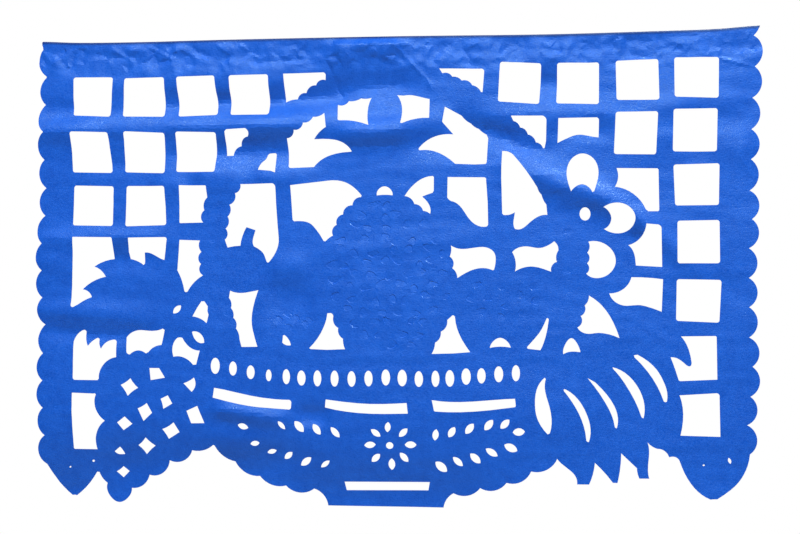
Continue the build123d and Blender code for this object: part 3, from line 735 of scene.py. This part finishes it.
def tissue():
    """Blue tissue paper, with painted shade along the crest of the fold."""
    material = bpy.data.materials.new("tissue_blue")
    start = new_tree(material)
    place = start.node("ShaderNodeTexCoord", output="Object")

    def cloud(scale, detail, stretch=(1, 1, 1)):
        """Noise with about this many patches to a metre."""
        spread = start.node("ShaderNodeMapping", {}, {"Vector": place, "Scale": stretch})
        return start.node("ShaderNodeTexNoise", {}, {"Vector": spread, "Scale": scale, "Detail": detail})

    dye_clouds, pulp_clouds = cloud(28, 3), cloud(190, 3)
    fibres, specks = cloud(700, 4, (0.6, 1, 1.4)), cloud(1100, 2)
    shade = 0.2 * dye_clouds + 0.35 * pulp_clouds + 0.25 * fibres + 0.2 * specks
    tones = [(0.34, DYE_DEEP), (0.66, DYE_LIGHT)]
    dye = start.node("ShaderNodeValToRGB", {"stops": tones}, {"Fac": shade})
    crest = start.node("ShaderNodeAttribute", {"attribute_name": "crest"}, output="Fac")
    # painted shade: the dye turns to the dark navy along the crest of the fold, where the mask is 1
    colour = start.node("ShaderNodeMix", {"data_type": "RGBA"}, {0: crest, 6: dye, 7: PAINTED_CREST_SHADE}, output=2)
    height = 0.5 * fibres + 0.5 * specks
    bump = start.node("ShaderNodeBump", {}, {"Height": height, "Strength": 0.6, "Distance": GRAIN})
    shader = start.node("ShaderNodeBsdfPrincipled", {}, {
        "Base Color": colour, "Roughness": specks - 0.08, "Normal": bump, "IOR": 1.45,
        "Specular Tint": SHEEN_TINT})
    start.node("ShaderNodeOutputMaterial", {}, {"Surface": shader})
    return material


sheet.data.materials.clear()
sheet.data.materials.append(tissue())
print("material:", sheet.data.materials[0].name)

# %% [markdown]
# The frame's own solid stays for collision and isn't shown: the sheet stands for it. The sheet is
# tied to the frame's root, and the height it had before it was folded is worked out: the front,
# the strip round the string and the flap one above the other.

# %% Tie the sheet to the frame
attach(sheet, "root")
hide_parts("banner")
flat_height = (root_z + fold_length + (root_z - flap_foot)) * MM - low.z

# %% [markdown]
# The floor. The banner hangs in the air over a pale floor, which is far enough down to be out of
# the picture from the front. To the camera it is nearly white, so that it joins the background and
# still keeps a trace of the shadow. To the paper it is plain matt, and its white adds no light.

# %% Floor
FLOOR_HALF = 4.0        # half the floor's side, in metres
FLOOR_BELOW = 0.9       # the floor lies this far under the banner's foot
FLOOR_WHITE = 0.92      # share of plain white in what the camera sees


def floor():
    """A square floor under the banner, tied to no body."""
    material = bpy.data.materials.new("floor_white")
    start = new_tree(material)
    seen = start.node("ShaderNodeLightPath", output="Is Camera Ray")
    matt = start.node("ShaderNodeBsdfDiffuse", {}, {"Color": (0.8, 0.8, 0.8, 1)})
    white = start.node("ShaderNodeEmission", {}, {"Color": (1, 1, 1, 1), "Strength": 1.0})
    mixed = start.node("ShaderNodeMixShader", {}, {0: seen * FLOOR_WHITE, 1: matt, 2: white})
    start.node("ShaderNodeOutputMaterial", {}, {"Surface": mixed})
    level = low.z - FLOOR_BELOW
    corners = [(x * FLOOR_HALF, y * FLOOR_HALF, level) for x, y in ((-1, -1), (1, -1), (1, 1), (-1, 1))]
    mesh = bpy.data.meshes.new("floor")
    mesh.from_pydata(corners, [], [(0, 1, 2, 3)])
    mesh.materials.append(material)
    ground = bpy.data.objects.new("floor", mesh)
    bpy.context.scene.collection.objects.link(ground)
    return level


print("floor at, m:", round(floor(), 3))

# %% [markdown]
# The lamps. The main one stands high at the right and rakes down over the ripples, so that each
# trough is dark above and bright below. A weaker one from the left keeps the shaded sides open,
# and a low one in front makes the glints. A broad one behind shows the back in its true colour.
# They are all small enough to leave the creases crisp: a large soft box would wash them out.

# %% Lamps
LAMPS = [   # name, place, side in metres, power in watts
    ("key", (0.55, -1.0, 1.5), 0.45, 38),
    ("left", (-0.6, -1.3, 1.25), 0.45, 15),
    ("glint", (0.0, -1.7, 0.7), 0.45, 12),
    ("behind", (0.5, 1.5, 0.9), 0.8, 20),
]


def area_light(name, place, aim, size, power):
    """A square lamp that looks at a point."""
    light = bpy.data.lights.new(name, "AREA")
    light.shape, light.size, light.energy = "SQUARE", size, power
    lamp = bpy.data.objects.new(name, light)
    lamp.location = place
    lamp.rotation_euler = (Vector(aim) - Vector(place)).to_track_quat("-Z", "Y").to_euler()
    bpy.context.scene.collection.objects.link(lamp)


for name, place, size, power in LAMPS:
    area_light(name, place, (low + high) / 2, size, power)
print("lamps:", [lamp[0] for lamp in LAMPS])

# %% [markdown]
# The world. It gives a dim even light from all round, so that no shadow is black. The camera sees
# it as white, which is the white background, and that adds no light to the paper.

# %% World
SKY_LIGHT = 0.06


def world():
    """Dim to the paper, white to the camera."""
    sky = bpy.data.worlds.new("studio")
    bpy.context.scene.world = sky
    start = new_tree(sky)
    seen = start.node("ShaderNodeLightPath", output="Is Camera Ray")
    dim = start.node("ShaderNodeBackground", {}, {"Color": (1, 1, 1, 1), "Strength": SKY_LIGHT})
    white = start.node("ShaderNodeBackground", {}, {"Color": (1, 1, 1, 1), "Strength": 1.0})
    mixed = start.node("ShaderNodeMixShader", {}, {0: seen, 1: dim, 2: white})
    start.node("ShaderNodeOutputWorld", {}, {"Surface": mixed})


world()
print("world:", bpy.context.scene.world.name)

# %% [markdown]
# The camera stands about a metre in front, a little to the right of the middle and below it, and
# it is turned back to the left, so that the banner's left side looks a little smaller.

# %% Camera
camera_data = bpy.data.cameras.new("camera")
camera_data.lens, camera_data.sensor_width = 67.5, 36
camera = bpy.data.objects.new("camera", camera_data)
camera.location = (0.1885, -0.9380, -0.1965)
camera.rotation_euler = [math.radians(a) for a in (92.935, -0.967, 10.598)]
bpy.context.scene.collection.objects.link(camera)
bpy.context.scene.camera = camera
bpy.context.scene.view_settings.view_transform = "Standard"
print("lens, mm:", camera_data.lens)

# %% [markdown]
# The paper's waves stand a few millimetres out of the flat solid, and this shows by how much.
